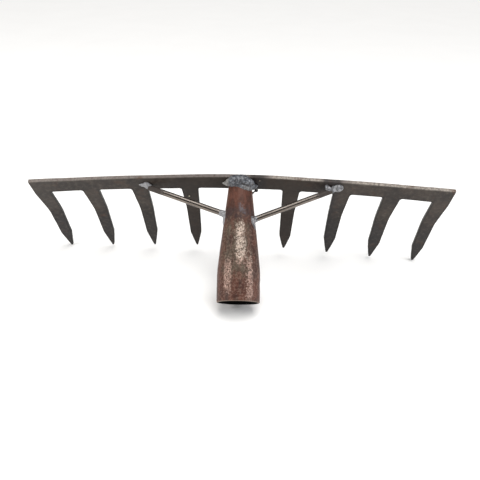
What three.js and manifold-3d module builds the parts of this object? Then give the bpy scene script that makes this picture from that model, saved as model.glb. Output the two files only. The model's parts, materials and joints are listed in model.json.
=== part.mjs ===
// A welded steel hay rake head without its handle: a toothed plate, a conical handle socket,
// two round braces, the weld runs that join them and three beads of weld spatter.
// It is laid out on the plate: X along the top edge, Y up the plate from that edge, Z out of
// the front face towards the handle. The last step turns it onto its feet, with +Z up.
import * as THREE from "three";
import { mergeVertices } from "three/addons/utils/BufferGeometryUtils.js";
import Module from "manifold-3d";

const wasm = await Module();
wasm.setup();

// Driving dimensions, in millimetres and degrees.
const WIDTH = 365; // plate, end to end along the top edge
const PLATE = 3; // plate thickness
const TEETH = 9;
const PITCH = 43.7; // between tooth centres at the gullets
const BAR_HEIGHT = 13.4; // top edge down to the gullets
const GULLET_RADIUS = 2.6;
const BEND_AT = 43.6; // top edge down to the middle of the bend
const BEND_LENGTH = 9;
const BEND_DEG = 13.9; // lower teeth lean towards the handle
const SHOULDER_AT = 72.7; // where the teeth start to taper to a point
const TOOTH_LENGTH = 90.3; // top edge down to the tips
const ROOT_WIDTH = 14;
const BEND_WIDTH = 11.4;
const SHOULDER_WIDTH = 9.7;
const TIP_WIDTH = 1.4;
const ARCH_RADIUS = 1616; // the top edge arches in the plate's own plane
const BOW_RADIUS = 7630; // the plate's ends curl towards the handle
const TWIST_DEG = -1.68; // in each 100 mm along the plate
const WORN_TIPS = [0.9, 0, 0, 0.9, 1, 1.6, 0.3, 0, 0.9]; // lost from each tooth, left to right

const SOCKET_LENGTH = 100.3; // along its axis, from the plate's face
const CONE_LENGTH = 74.8;
const SOCKET_ROOT = 19.4; // outside diameters
const SOCKET_SHOULDER = 35.6;
const SOCKET_MOUTH = 35.2;
const SOCKET_WALL = 2;
const SOCKET_DROP = 8.4; // socket axis below the top edge, where it meets the plate
const SOCKET_ANGLE_DEG = 68.9; // between the socket and the upper teeth
const SOCKET_LEAN_DEG = 0.6; // to the right

const ROD = 4.7; // brace rod diameter
const GAP = 0.3; // left between pieces that touch

const BEND = THREE.MathUtils.degToRad(BEND_DEG);
const TWIST = THREE.MathUtils.degToRad(TWIST_DEG) / 100;
const SOCKET_ANGLE = THREE.MathUtils.degToRad(SOCKET_ANGLE_DEG);
const SOCKET_LEAN = THREE.MathUtils.degToRad(SOCKET_LEAN_DEG);
const OUTER_TOOTH = (TEETH - 1) / 2;

// ---------------------------------------------------------------- solids

function solidOf(geometry) {
  const bare = geometry.clone();
  bare.deleteAttribute("normal");
  bare.deleteAttribute("uv");
  const merged = mergeVertices(bare, 1e-4);
  const mesh = new wasm.Mesh({
    numProp: 3,
    vertProperties: merged.attributes.position.array,
    triVerts: new Uint32Array(merged.index.array),
  });
  return new wasm.Manifold(mesh);
}

function geometryOf(solid) {
  const mesh = solid.getMesh();
  const geometry = new THREE.BufferGeometry();
  geometry.setAttribute("position", new THREE.BufferAttribute(mesh.vertProperties, 3));
  geometry.setIndex(new THREE.BufferAttribute(mesh.triVerts, 1));
  geometry.computeVertexNormals();
  return geometry;
}

// A block between its lowest and its highest corner.
function block(low, high) {
  const size = high.clone().sub(low);
  const middle = low.clone().add(high).multiplyScalar(0.5);
  const geometry = new THREE.BoxGeometry(size.x, size.y, size.z);
  return solidOf(geometry.translate(middle.x, middle.y, middle.z));
}

// ---------------------------------------------------------------- the toothed plate

// A point of the plate: along from the middle, down from the top edge, out of the front face.
function onPlate(along, down, out) {
  const start = BEND_AT - BEND_LENGTH / 2;
  const turned = BEND * THREE.MathUtils.clamp((down - start) / BEND_LENGTH, 0, 1);
  const past = Math.max(0, down - start - BEND_LENGTH);
  const radius = BEND_LENGTH / BEND;
  const reachDown = Math.min(down, start) + radius * Math.sin(turned) + past * Math.cos(turned);
  const reachOut = radius * (1 - Math.cos(turned)) + past * Math.sin(turned);
  const section = new THREE.Vector2(out * Math.sin(turned) - reachDown, out * Math.cos(turned) + reachOut);
  const twisted = section.rotateAround(new THREE.Vector2(), TWIST * along);
  const curl = along / BOW_RADIUS;
  const reach = BOW_RADIUS - twisted.y;
  return new THREE.Vector3(
    reach * Math.sin(curl),
    twisted.x - along ** 2 / (2 * ARCH_RADIUS),
    BOW_RADIUS - reach * Math.cos(curl),
  );
}

// The teeth stand square to the arched bar, so they close up a little towards their tips.
function toothCentre(tooth, down) {
  return tooth * PITCH * (1 - (down - BAR_HEIGHT) / ARCH_RADIUS);
}

// Half of a tooth's width, at a distance below the top edge, on a tooth that isn't worn.
function toothHalfWidth(down) {
  const stations = [
    [BAR_HEIGHT, ROOT_WIDTH],
    [BEND_AT, BEND_WIDTH],
    [SHOULDER_AT, SHOULDER_WIDTH],
    [TOOTH_LENGTH, TIP_WIDTH],
  ];
  const next = Math.max(1, stations.findIndex(([at]) => at >= down));
  const [from, wide] = stations[next - 1];
  const [to, narrow] = stations[next];
  return THREE.MathUtils.mapLinear(down, from, to, wide, narrow) / 2;
}

// The plate as a flat grid of four-sided cells, which onPlate bends to shape.
function plateGrid() {
  const points = [];
  const cells = [];
  const add = (along, down) => points.push([along, down]) - 1;
  const rootAt = BAR_HEIGHT + GULLET_RADIUS;
  let left = null;

  // A strip of the bar, from the top edge to a point on its lower outline.
  const barColumn = (topAlong, along, down) => {
    const column = [0, 0.5, 1].map((part) =>
      add(THREE.MathUtils.lerp(topAlong, along, part), down * part));
    if (left) {
      cells.push([left[0], left[1], column[1], column[0]]);
      cells.push([left[1], left[2], column[2], column[1]]);
    }
    left = column;
    return column[2];
  };

  // Each stretch of a tooth, from where it starts to where it ends, and its rows of cells.
  const stretches = [
    [rootAt, BEND_AT - BEND_LENGTH / 2, [0.3, 0.65, 1]],
    [BEND_AT - BEND_LENGTH / 2, BEND_AT + BEND_LENGTH / 2, [1 / 3, 2 / 3, 1]],
    [BEND_AT + BEND_LENGTH / 2, SHOULDER_AT, [0.5, 1]],
    [SHOULDER_AT, TOOTH_LENGTH, [0.45, 0.8, 1]],
  ];
  const toothRows = stretches.flatMap(([from, to, parts]) =>
    parts.map((part) => THREE.MathUtils.lerp(from, to, part)));

  for (let tooth = -OUTER_TOOTH; tooth <= OUTER_TOOTH; tooth += 1) {
    let row = [-1, 0, 1].map((side) => {
      const along = toothCentre(tooth, rootAt) + side * toothHalfWidth(rootAt);
      const isEnd = side !== 0 && tooth * side === OUTER_TOOTH;
      return barColumn(isEnd ? (side * WIDTH) / 2 : along, along, rootAt);
    });
    const worn = WORN_TIPS[tooth + OUTER_TOOTH] / (TOOTH_LENGTH - SHOULDER_AT);
    for (const down of toothRows) {
      const at = down - worn * Math.max(0, down - SHOULDER_AT);
      const below = [-1, 0, 1].map((side) => add(toothCentre(tooth, at) + side * toothHalfWidth(down), at));
      for (const k of [0, 1]) cells.push([row[k], below[k], below[k + 1], row[k + 1]]);
      row = below;
    }
    if (tooth === OUTER_TOOTH) break;

    // The gullet: a round corner, a straight run and the next round corner.
    const from = toothCentre(tooth, rootAt) + toothHalfWidth(rootAt);
    const to = toothCentre(tooth + 1, rootAt) - toothHalfWidth(rootAt);
    const corner = [30, 60, 90].map((deg) => THREE.MathUtils.degToRad(deg));
    for (const turn of corner) {
      const along = from + GULLET_RADIUS * (1 - Math.cos(turn));
      barColumn(along, along, rootAt - GULLET_RADIUS * Math.sin(turn));
    }
    for (const part of [0.25, 0.5, 0.75]) {
      const along = THREE.MathUtils.lerp(from + GULLET_RADIUS, to - GULLET_RADIUS, part);
      barColumn(along, along, BAR_HEIGHT);
    }
    for (const turn of corner.reverse()) {
      const along = to - GULLET_RADIUS * (1 - Math.cos(turn));
      barColumn(along, along, rootAt - GULLET_RADIUS * Math.sin(turn));
    }
  }
  return { points, cells };
}

// Front cells, back cells, and a wall along every edge that only one cell has. The faces and
// the top edge can be moved out by a gap, to cut the welds that lie on them.
function plateGeometry(gap) {
  const { points, cells } = plateGrid();
  const count = points.length;
  const positions = [gap, -PLATE - gap].flatMap((out) =>
    points.flatMap(([along, down]) => onPlate(along, down === 0 ? -gap : down, out).toArray()));
  const index = [];
  const rim = new Map();
  for (const [a, b, c, d] of cells) {
    index.push(a, b, c, a, c, d);
    index.push(count + a, count + c, count + b, count + a, count + d, count + c);
    for (const [from, to] of [[a, b], [b, c], [c, d], [d, a]]) {
      const shared = rim.delete(`${to} ${from}`);
      if (!shared) rim.set(`${from} ${to}`, [from, to]);
    }
  }
  for (const [from, to] of rim.values()) {
    index.push(from, count + from, count + to, from, count + to, to);
  }
  const geometry = new THREE.BufferGeometry();
  geometry.setAttribute("position", new THREE.Float32BufferAttribute(positions, 3));
  geometry.setIndex(index);
  geometry.computeVertexNormals();
  return geometry;
}

// ---------------------------------------------------------------- the handle socket

const socketStart = new THREE.Vector3(0, -SOCKET_DROP, 0);
const socketAxis = new THREE.Vector3(
  Math.sin(SOCKET_LEAN),
  -Math.cos(SOCKET_ANGLE) * Math.cos(SOCKET_LEAN),
  Math.sin(SOCKET_ANGLE) * Math.cos(SOCKET_LEAN),
);

// A profile of [radius, distance from the plate] pairs, turned about the socket's axis.
function turnedOnSocket(profile) {
  const points = profile.map(([radius, distance]) => new THREE.Vector2(radius, distance));
  const geometry = new THREE.LatheGeometry(points, 40);
  const turn = new THREE.Quaternion().setFromUnitVectors(new THREE.Vector3(0, 1, 0), socketAxis);
  return geometry.applyQuaternion(turn).translate(...socketStart.toArray());
}

const SOCKET_TAPER = (SOCKET_SHOULDER - SOCKET_ROOT) / 2 / CONE_LENGTH;

function socketRadius(distance) {
  const parallel = (SOCKET_MOUTH - SOCKET_SHOULDER) / 2 / (SOCKET_LENGTH - CONE_LENGTH);
  if (distance < CONE_LENGTH) return SOCKET_ROOT / 2 + SOCKET_TAPER * distance;
  return SOCKET_SHOULDER / 2 + parallel * (distance - CONE_LENGTH);
}

// The socket runs on through the plate by this much before it is cut off flush.
const RUN_ON = 12;

const SHOULDER_EASE = 3; // on each side of the shoulder

function socketSolid() {
  const stations = [-RUN_ON, CONE_LENGTH - SHOULDER_EASE, CONE_LENGTH + SHOULDER_EASE, SOCKET_LENGTH];
  const outside = stations.map((at) => [socketRadius(at), at]);
  const inside = stations.map((at) => [socketRadius(at) - SOCKET_WALL, at]).reverse();
  const tube = solidOf(turnedOnSocket([...outside, ...inside, outside[0]]));
  const far = 2 * SOCKET_MOUTH;
  return tube.subtract(block(new THREE.Vector3(-far, -far, -far), new THREE.Vector3(far, far, GAP)));
}

// The socket filled in and a gap larger, to cut the pieces that lie against it.
function socketClearance() {
  const stations = [-RUN_ON, CONE_LENGTH];
  const outside = stations.map((at) => [socketRadius(at) + GAP, at]);
  return solidOf(turnedOnSocket([[0, -RUN_ON], ...outside, [0, CONE_LENGTH]]));
}

// ---------------------------------------------------------------- the braces

// side is -1 on the left and 1 on the right. Each rod lies low on the bar and runs inwards
// and forwards to the side of the socket.
const BRACE_ENDS = {
  left: { side: -1, along: -78.5, down: 9.2, socketAt: 26.1 },
  right: { side: 1, along: 77.6, down: 7.6, socketAt: 29.8 },
};

// The rod's axis runs from its foot to its touch on the socket's side, and on to its head
// inside the wall, where the rod is coped to the socket.
function braceLine({ side, along, down, socketAt }) {
  const foot = onPlate(along, down, ROD / 2 + GAP);
  const touch = socketStart.clone().addScaledVector(socketAxis, socketAt);
  touch.x += side * socketRadius(socketAt);
  const direction = touch.clone().sub(foot).normalize();
  const head = touch.clone().addScaledVector(direction, ROD);
  return { foot, touch, head, direction };
}

function rodBetween(from, to, diameter) {
  const span = to.clone().sub(from);
  const middle = from.clone().add(to).multiplyScalar(0.5);
  const geometry = new THREE.CylinderGeometry(diameter / 2, diameter / 2, span.length(), 16);
  const turn = new THREE.Quaternion().setFromUnitVectors(new THREE.Vector3(0, 1, 0), span.normalize());
  return solidOf(geometry.applyQuaternion(turn).translate(...middle.toArray()));
}

function braceSolid(ends) {
  const { foot, head } = braceLine(ends);
  return rodBetween(foot, head, ROD).subtract(socketClearance());
}

function braceClearance(ends) {
  const { foot, head, direction } = braceLine(ends);
  return rodBetween(foot.clone().addScaledVector(direction, -GAP), head, ROD + 2 * GAP);
}

// ---------------------------------------------------------------- the welds

// A weld run is a row of flattened puddles, each [x, y, z, radius], laid one over the next.
function puddles(row, height) {
  const solids = row.map(([x, y, z, radius]) =>
    solidOf(new THREE.IcosahedronGeometry(radius, 2).scale(1, 1, height).translate(x, y, z)));
  return solids.reduce((run, next) => run.add(next));
}

const plateClearance = solidOf(plateGeometry(GAP));

function socketWelds() {
  const keep = (solid) => solid.subtract(plateClearance).subtract(socketClearance());
  const seam = 2.4; // where the left run ends and the right one starts
  const far = 60;
  const rightOfSeam = block(new THREE.Vector3(seam - GAP / 2, -far, -far), new THREE.Vector3(far, far, far));
  const leftOfSeam = block(new THREE.Vector3(-far, -far, -far), new THREE.Vector3(seam + GAP / 2, far, far));
  const left = [
    [-13, -6.4, 0.6, 1.8],
    [-10.8, -5.2, 1.2, 3],
    [-8.4, -2.6, 2, 4.2],
    [-4.4, 0, 2.6, 5.2],
    [0, 1.2, 2.8, 5.2],
    [3, 1.2, 2.6, 5],
  ];
  const right = [
    [2, 1.2, 2.6, 5],
    [5, 0, 2.8, 4.6],
    [8, -2.8, 3.2, 4.2],
    [9.3, -6.2, 2.8, 3.7],
    [11.2, -9, 1.6, 3],
    [12.6, -10.8, 0.9, 2.2],
  ];
  const under = [-5, -2.5, 0, 2.5, 5].map((x) => [x, -18.4 + 0.05 * x * x, 1, 2.9]);
  return {
    weld_socket_left: keep(puddles(left, 0.9)).subtract(rightOfSeam),
    weld_socket_right: keep(puddles(right, 0.9)).subtract(leftOfSeam),
    weld_socket_under: keep(puddles(under, 1)),
  };
}

// The runs at a brace's two ends: one on the bar round its foot, one below it on the socket.
function braceWelds(ends) {
  const { foot, touch, direction } = braceLine(ends);
  const { side } = ends;
  const onBar = puddles([[7.6, 1.9], [5, 3.2], [1.8, 3.4], [-0.6, 3.2]].map(([beyond, radius]) => {
    const at = foot.clone().addScaledVector(direction, -beyond);
    return [at.x, at.y, 1.2, radius];
  }), 0.8);
  const onSocket = puddles([[2.2, 3.1], [4.4, 2.8], [6.8, 2]].map(([below, radius]) => {
    const at = touch.clone().addScaledVector(socketAxis, below);
    return [at.x + side * (SOCKET_TAPER * below + 0.4), at.y, at.z, radius];
  }), 1);
  return {
    onBar: onBar.subtract(plateClearance).subtract(braceClearance(ends)),
    onSocket: onSocket.subtract(socketClearance()).subtract(braceClearance(ends)),
  };
}

// ---------------------------------------------------------------- the spatter

function spatterOnPlate(along, down, radius) {
  const at = onPlate(along, down, GAP + radius * 0.8);
  return new THREE.IcosahedronGeometry(radius, 1).translate(at.x, at.y, at.z);
}

// A drop that hangs off the socket's right side on a thin neck.
function spatterOnNeck() {
  const distance = 7;
  const root = socketAxis.clone().multiplyScalar(distance).add(socketStart);
  root.x += socketRadius(distance) + GAP + 0.5;
  const drop = root.clone().add(new THREE.Vector3(2.4, 3, -0.7));
  const ball = solidOf(new THREE.IcosahedronGeometry(1.2, 1).translate(drop.x, drop.y, drop.z));
  return ball.add(rodBetween(root, drop, 0.9));
}

// ---------------------------------------------------------------- the assembly

function steel(color, roughness, metalness) {
  return new THREE.MeshStandardMaterial({ color, roughness, metalness });
}

const onTheBench = new THREE.Group();

function place(name, geometry, material) {
  const mesh = new THREE.Mesh(geometry, material);
  mesh.name = name;
  onTheBench.add(mesh);
  return mesh;
}

place("toothed_plate", plateGeometry(0), steel(0x4e4844, 0.5, 0.6));
place("handle_socket", geometryOf(socketSolid()), steel(0x65463c, 0.45, 0.5));
for (const [name, ends] of Object.entries(BRACE_ENDS)) {
  const welds = braceWelds(ends);
  place(`brace_${name}`, geometryOf(braceSolid(ends)), steel(0x6e6a68, 0.35, 0.8));
  place(`weld_brace_${name}_plate`, geometryOf(welds.onBar), steel(0x95969a, 0.4, 0.8));
  place(`weld_brace_${name}_socket`, geometryOf(welds.onSocket), steel(0x9a9ca0, 0.4, 0.8));
}
for (const [name, solid] of Object.entries(socketWelds())) {
  place(name, geometryOf(solid), steel(0x77787e, 0.4, 0.8));
}
place("spatter_drop", geometryOf(spatterOnNeck()), steel(0x2b2a29, 0.6, 0.6));
place("spatter_bead_tooth", spatterOnPlate(-45, 24.8, 0.75), steel(0xb8b6a8, 0.4, 0.8));
place("spatter_bead_bar", spatterOnPlate(16.2, 2, 0.7), steel(0x8a8a7c, 0.4, 0.8));

// ---------------------------------------------------------------- standing on its feet

function cornersOf(mesh, isKept) {
  const positions = mesh.geometry.attributes.position;
  const corners = [];
  for (let k = 0; k < positions.count; k += 1) {
    const corner = new THREE.Vector3().fromBufferAttribute(positions, k);
    if (isKept(corner)) corners.push(corner);
  }
  return corners;
}

// The head rests on three feet: the outer tooth at each end and the rim of the socket's mouth.
function restingTurn() {
  const [plate, socket] = onTheBench.children;
  const standsOn = [
    cornersOf(plate, (corner) => corner.x < -WIDTH / 3),
    cornersOf(plate, (corner) => corner.x > WIDTH / 3),
    cornersOf(socket, (corner) => corner.z > SOCKET_LENGTH / 2),
  ];
  let up = new THREE.Vector3(0, 1, -0.5).normalize();
  for (let pass = 0; pass < 6; pass += 1) {
    const [left, right, front] = standsOn.map((corners) =>
      corners.reduce((low, corner) => (corner.dot(up) < low.dot(up) ? corner : low)));
    up = front.clone().sub(left).cross(right.clone().sub(left)).normalize();
  }
  const across = new THREE.Vector3(1, 0, 0).projectOnPlane(up).normalize();
  const back = up.clone().cross(across);
  return new THREE.Matrix4().makeBasis(across, back, up).invert();
}

const rake = new THREE.Group();
onTheBench.applyMatrix4(restingTurn());
rake.add(onTheBench);
rake.updateMatrixWorld(true);
const box = new THREE.Box3().setFromObject(rake, true);
const middle = box.getCenter(new THREE.Vector3());
onTheBench.position.sub(new THREE.Vector3(middle.x, middle.y, box.min.z));

export default rake;
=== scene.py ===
# %% [markdown]
# # A welded hay rake head
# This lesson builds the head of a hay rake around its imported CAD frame: a toothed steel plate,
# a conical socket for the handle, two round braces, and the weld runs that hold them together.
# Each piece is laid out on a bench, in millimetres, the way its maker would lay it out. Then it
# is carried to its place in the frame, which is in metres.

import json
import math

import bmesh
import bpy
from mathutils import Euler, Matrix, Vector, noise


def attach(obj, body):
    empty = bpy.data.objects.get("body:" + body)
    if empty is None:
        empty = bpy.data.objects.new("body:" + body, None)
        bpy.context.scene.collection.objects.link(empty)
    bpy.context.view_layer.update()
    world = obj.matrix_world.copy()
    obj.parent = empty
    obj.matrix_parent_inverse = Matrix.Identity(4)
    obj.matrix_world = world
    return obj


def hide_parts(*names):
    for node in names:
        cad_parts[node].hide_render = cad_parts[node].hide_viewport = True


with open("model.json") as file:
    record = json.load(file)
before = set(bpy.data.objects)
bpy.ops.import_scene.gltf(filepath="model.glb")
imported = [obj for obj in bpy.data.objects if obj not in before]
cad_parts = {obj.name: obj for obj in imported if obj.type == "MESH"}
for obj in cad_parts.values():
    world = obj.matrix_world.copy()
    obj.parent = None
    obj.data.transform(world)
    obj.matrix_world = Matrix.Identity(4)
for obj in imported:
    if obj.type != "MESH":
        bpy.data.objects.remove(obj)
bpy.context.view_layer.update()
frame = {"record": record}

# %% [markdown]
# ## The bench
# On the bench, X runs along the plate's top edge, Y up the plate, and Z out of its front face
# towards the handle. The finished head stands on three feet, so the bench is tipped far forward
# to reach the frame. The record's handle_rim mount is a point that both know, on the socket's
# rim, so the offset between the two frames comes from it, and its axis checks the two angles.

# %% From the bench to the frame
MM = 0.001
TIP_FORWARD = math.radians(115.6533)
TIP_SIDEWAYS = math.radians(-0.47446)

SOCKET_LENGTH = 100.3
SOCKET_DROP = 8.4
SOCKET_LEAN = math.radians(0.6)
SOCKET_ANGLE = math.radians(68.9)
RIM_RADIUS = 16.6

socket_start = Vector((0, -SOCKET_DROP, 0))
socket_axis = Vector((
    math.sin(SOCKET_LEAN),
    -math.cos(SOCKET_ANGLE) * math.cos(SOCKET_LEAN),
    math.sin(SOCKET_ANGLE) * math.cos(SOCKET_LEAN),
))
mounts = frame["record"]["mounts"]
rim = next(mount for mount in mounts if mount["name"] == "handle_rim")
bench_turn = Euler((TIP_FORWARD, TIP_SIDEWAYS, 0)).to_matrix()
rim_on_bench = socket_start + socket_axis * SOCKET_LENGTH - Vector((RIM_RADIUS, 0, 0))
bench_origin = Vector(rim["pos_m"]) - bench_turn @ (rim_on_bench * MM)
to_frame = Matrix.Translation(bench_origin) @ bench_turn.to_4x4() @ Matrix.Scale(MM, 4)
print("bench origin in the frame:", [round(part, 5) for part in bench_origin])
axis_error = (bench_turn @ socket_axis - Vector(rim["axis"])).length
print("the socket's axis misses the record's by", round(axis_error, 6))

# %% [markdown]
# ## The camera
# The head is seen from the front and above, as if lying on a table. The camera is close, under
# half a metre away, so the teeth at the two ends lean a little outwards.

# %% Camera
CAMERA_PLACE = Vector((8.814, -389.451, 281.402)) * MM
CAMERA_ELEVATION = math.radians(31.283)
CAMERA_AZIMUTH = math.radians(1.117)
CAMERA_ROLL = math.radians(1.280)
CAMERA_LENS = 40.05

eye = bpy.data.objects.new("camera", bpy.data.cameras.new("camera"))
bpy.context.scene.collection.objects.link(eye)
eye.data.lens = CAMERA_LENS
eye.data.sensor_width = 36
eye.data.clip_start = 0.01
looking = Matrix.Rotation(CAMERA_AZIMUTH, 4, "Z")
looking = looking @ Matrix.Rotation(math.pi / 2 - CAMERA_ELEVATION, 4, "X")
looking = looking @ Matrix.Rotation(CAMERA_ROLL, 4, "Z")
eye.matrix_world = Matrix.Translation(CAMERA_PLACE) @ looking
bpy.context.scene.camera = eye
print("camera at", [round(part, 3) for part in CAMERA_PLACE])

# %% [markdown]
# ## Helpers for working as by hand
# An operator acts on whatever is selected, and the loaded CAD nodes are all selected, so each
# step first picks one piece alone. Inside edit mode, faces and edges are picked by where they
# are, with a test that all their corners must pass. Notes are numbers written on the vertices,
# such as how hot the steel became there. The materials read them later.

# %% Picking pieces and parts of a piece
SMOOTH_UP_TO = math.radians(50)


def pick(*pieces):
    bpy.ops.object.select_all(action="DESELECT")
    for piece in pieces:
        piece.select_set(True)
    bpy.context.view_layer.objects.active = pieces[0]


def pick_parts(piece, kind, test):
    """In edit mode, selects the "edges" or "faces" whose corners all pass a test."""
    shape = bmesh.from_edit_mesh(piece.data)
    bpy.ops.mesh.select_all(action="DESELECT")
    bpy.ops.mesh.select_mode(type={"edges": "EDGE", "faces": "FACE"}[kind])
    found = 0
    for part in getattr(shape, kind):
        chosen = all(test(corner.co) for corner in part.verts)
        part.select_set(chosen)
        found += chosen
    shape.select_flush_mode()
    bmesh.update_edit_mesh(piece.data)
    return found


def edit(on):
    bpy.ops.object.mode_set(mode="EDIT" if on else "OBJECT")


def open_whole(piece):
    """Enters edit mode with all of a piece selected."""
    pick(piece)
    edit(True)
    bpy.ops.mesh.select_all(action="SELECT")


def cut(piece, place, normal, **settings):
    """Cuts a whole piece with a plane."""
    open_whole(piece)
    bpy.ops.mesh.bisect(plane_co=place, plane_no=normal, **settings)
    edit(False)


def written_in(name, scale=(1, 1, 1)):
    """Names the piece just added and writes its place and scale into its mesh."""
    piece = bpy.context.object
    piece.name = name
    piece.scale = scale
    bpy.ops.object.transform_apply(location=True, rotation=True, scale=True)
    return piece


def finish_with(piece, kind, **settings):
    """Adds a modifier, sets it and applies it."""
    pick(piece)
    modifier = piece.modifiers.new(kind.title(), kind)
    for name, value in settings.items():
        setattr(modifier, name, value)
    bpy.ops.object.modifier_apply(modifier=modifier.name)


def copy_of(piece, name):
    pick(piece)
    bpy.ops.object.duplicate(linked=False)
    twin = bpy.context.object
    twin.name = name
    return twin


def joined(pieces, name):
    pick(*pieces)
    bpy.ops.object.join()
    whole = bpy.context.object
    whole.name = name
    return whole


def move_points(piece, rule):
    """Moves every vertex by hand, as sculpting does, to where a rule puts it."""
    for vertex in piece.data.vertices:
        vertex.co = rule(vertex.co.copy())
    piece.data.update()


def note(piece, name, rule):
    """Writes a number or a vector on each vertex, for the materials to read."""
    values = [rule(vertex.co) for vertex in piece.data.vertices]
    if isinstance(values[0], Vector):
        written = piece.data.attributes.new(name, "FLOAT_VECTOR", "POINT")
        written.data.foreach_set("vector", [part for value in values for part in value])
    else:
        written = piece.data.attributes.new(name, "FLOAT", "POINT")
        written.data.foreach_set("value", values)


def clamped(value, low=0.0, high=1.0):
    return max(low, min(high, value))


def eased(value, low, high):
    """0 below low, 1 above high, and smooth in between."""
    share = clamped((value - low) / (high - low))
    return share * share * (3 - 2 * share)


def carry_to_frame(piece):
    """Takes a finished piece from the bench to the frame, in place of its CAD node."""
    pick(piece)
    piece.data.transform(to_frame)
    piece.matrix_world = Matrix.Identity(4)
    bpy.ops.object.shade_smooth_by_angle(angle=SMOOTH_UP_TO)
    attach(piece, "root")
    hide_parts(piece.name.replace("_look", ""))
    triangles = sum(len(face.vertices) - 2 for face in piece.data.polygons)
    print(piece.name, "has", triangles, "triangles")


print("halfway, the easing gives", eased(5, 0, 10))

# %% [markdown]
# ## The light
# The steel only shows its shape through what it reflects. A wide soft sky glows overhead and a
# little in front, very far up, so that the floor is evenly lit. Two panels stand low at the
# sides, so a round bar or a cone carries long bright streaks with dark between them.

# %% Lights
def lit(name, kind, power, tint, place, aim):
    """Hangs a light at a place, turned to its aim. A sun gives watts a square metre."""
    light = bpy.data.lights.new(name, kind)
    light.energy = power
    light.color = tint
    lamp = bpy.data.objects.new(name, light)
    bpy.context.scene.collection.objects.link(lamp)
    lamp.location = place
    lamp.rotation_euler = (Vector(aim) - Vector(place)).to_track_quat("-Z", "Y").to_euler()
    print(name, "gives", power, "watts")
    return light


def panel(name, power, tint, place, width, height):
    light = lit(name, "AREA", power, tint, place, (0, 0, 0.04))
    light.shape = "RECTANGLE"
    light.size = width
    light.size_y = height


WARM_WHITE = (1.0, 0.985, 0.965)
COOL_WHITE = (0.97, 0.98, 1.0)
sky = lit("overhead_sky", "SUN", 2.75, WARM_WHITE, (0.15, -0.20, 0.96), (0, 0, 0))
sky.angle = math.radians(50)
panel("left_panel", 8, WARM_WHITE, (-0.92, -0.37, 0.48), 0.80, 0.55)
panel("right_panel", 7, COOL_WHITE, (1.01, -0.22, 0.38), 0.65, 0.45)

# %% [markdown]
# The room around the board is dim and slightly blue, so it only lifts the shadows. The picture
# is developed plainly, with no film look.

# %% Surroundings and how the picture is developed
world = bpy.data.worlds.new("studio")
bpy.context.scene.world = world
world.use_nodes = True
backdrop = world.node_tree.nodes["Background"]
backdrop.inputs["Color"].default_value = (0.9, 0.93, 1.0, 1)
backdrop.inputs["Strength"].default_value = 0.13
bpy.context.scene.view_settings.view_transform = "Standard"
bpy.context.scene.view_settings.look = "None"
print("world strength", backdrop.inputs["Strength"].default_value)

# %% [markdown]
# ## Materials as small graphs
# Every finish is a graph of procedural nodes. A Finish holds a material and builds its graph one
# node at a time, each wired to the ones before it. The tone helper turns an 8-bit colour, as a
# colour picker shows it, into the linear colour that a shader wants.

# %% Helpers for materials
def tone(red, green, blue):
    def linear(part):
        share = part / 255
        return share / 12.92 if share <= 0.04045 else ((share + 0.055) / 1.055) ** 2.4
    return (linear(red), linear(green), linear(blue), 1.0)


class Finish:
    """A material and its graph, built one node at a time."""

    def __init__(self, name):
        self.material = bpy.data.materials.new(name)
        self.material.use_nodes = True
        self.tree = self.material.node_tree
        self.skin = self.tree.nodes["Principled BSDF"]

    def wire(self, socket, value):
        if isinstance(value, bpy.types.NodeSocket):
            self.tree.links.new(value, socket)
        else:
            socket.default_value = value

    def add(self, kind, output, inputs, **settings):
        made = self.tree.nodes.new("ShaderNode" + kind)
        for name, value in settings.items():
            setattr(made, name, value)
        for name, value in inputs.items():
            self.wire(made.inputs[name], value)
        return made.outputs[output]

    def noted(self, name, output="Vector"):
        return self.add("Attribute", output, {}, attribute_name=name)

    def turned(self, vector, scale=(1, 1, 1), angle=(0, 0, 0)):
        turn = tuple(math.radians(part) for part in angle)
        return self.add("Mapping", "Vector", {"Vector": vector, "Scale": scale, "Rotation": turn})

    def noise(self, vector, scale, detail=4.0, roughness=0.55, distortion=0.0):
        return self.add("TexNoise", "Fac", {
            "Vector": vector, "Scale": scale, "Detail": detail,
            "Roughness": roughness, "Distortion": distortion,
        })

    def between(self, value, low, high, to_low=0.0, to_high=1.0):
        """Stretches a range of values, and holds it at the range's ends."""
        return self.add("MapRange", "Result", {
            "Value": value, "From Min": low, "From Max": high, "To Min": to_low, "To Max": to_high,
        }, interpolation_type="SMOOTHSTEP")

    def times(self, first, second):
        return self.math("MULTIPLY", first, second)

    def math(self, operation, first, second=0.0):
        made = self.tree.nodes.new("ShaderNodeMath")
        made.operation = operation
        self.wire(made.inputs[0], first)
        self.wire(made.inputs[1], second)
        return made.outputs[0]

    def mix(self, share, first, second):
        made = self.tree.nodes.new("ShaderNodeMix")
        made.data_type = "RGBA"
        self.wire(made.inputs["Factor"], share)
        self.wire(made.inputs[6], first)
        self.wire(made.inputs[7], second)
        return made.outputs[2]

    def over(self, base, mask, share, colour):
        """Lays an 8-bit colour over the base, as thickly as a mask times a share."""
        thickness = mask if share == 1 else self.times(mask, share)
        return self.mix(thickness, base, tone(*colour))

    def part(self, vector, axis):
        return self.add("SeparateXYZ", axis, {"Vector": vector})

    def bump(self, height, strength, distance_mm, under=None):
        inputs = {"Height": height, "Strength": strength, "Distance": distance_mm * MM}
        if under is not None:
            inputs["Normal"] = under
        return self.add("Bump", "Normal", inputs)

    def skin_with(self, **values):
        for name, value in values.items():
            self.wire(self.skin.inputs[name.replace("_", " ")], value)
        return self.material


def band(finish, value, low, high, soft):
    """1 between two values, fading out over a soft margin."""
    rising = finish.between(value, low - soft, low + soft)
    falling = finish.between(value, high - soft, high + soft, 1.0, 0.0)
    return finish.times(rising, falling)


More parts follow.
